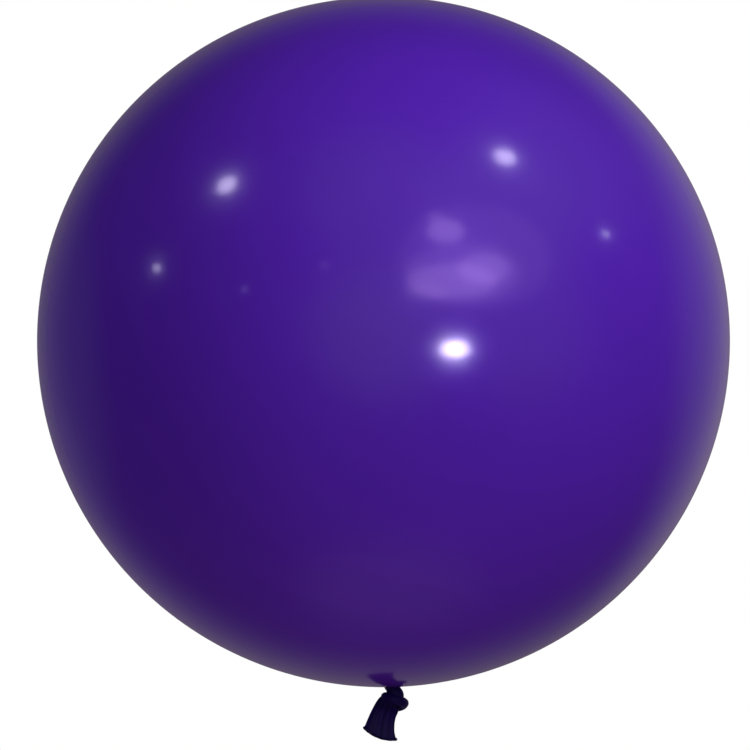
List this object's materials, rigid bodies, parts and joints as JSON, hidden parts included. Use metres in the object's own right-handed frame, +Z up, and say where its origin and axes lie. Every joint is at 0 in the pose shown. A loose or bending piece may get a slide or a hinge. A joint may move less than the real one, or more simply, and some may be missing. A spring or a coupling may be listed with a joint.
{
  "type": "latex balloon",
  "caption": "Large round inflated latex balloon with its neck tied in an overhand knot and a short flared tail ending in a rolled rim.",
  "frame": {"origin": "middle of the tie groove on the neck, between the knot and the underside of the balloon", "axes": "+Z up through the middle of the balloon, +X along the flattened tail's width, +Y away from the pictured side"},
  "size_m": [0.9, 0.9, 0.9661],
  "materials": {
    "skin": "glossy stretched latex",
    "neck_latex": "satin latex",
    "knot_latex": "satin latex",
    "tail_latex": "satin latex",
    "rim_latex": "satin latex"
  },
  "bodies": {
    "neck": {"neck": "neck_latex"},
    "envelope": {"envelope": "skin"},
    "knot": {"knot": "knot_latex"},
    "tail": {"tail": "tail_latex", "rolled_rim": "rim_latex"}
  },
  "joints": [
    {"name": "envelope_twist", "type": "hinge", "parent": "neck", "child": "envelope", "pos_m": [0, 0, 0], "axis": [0, 0, 1], "range_deg": [-180, 180], "stiffness_Nm_per_rad": 0.005},
    {"name": "knot_swing", "type": "hinge", "parent": "neck", "child": "knot", "pos_m": [0, 0, 0], "axis": [0, 1, 0], "range_deg": [-12, 12], "stiffness_Nm_per_rad": 0.005},
    {"name": "tail_flex", "type": "hinge", "parent": "knot", "child": "tail", "pos_m": [-0.00622, 0, -0.0307], "axis": [0.9397, 0, -0.342], "range_deg": [-25, 25], "stiffness_Nm_per_rad": 0.002}
  ]
}
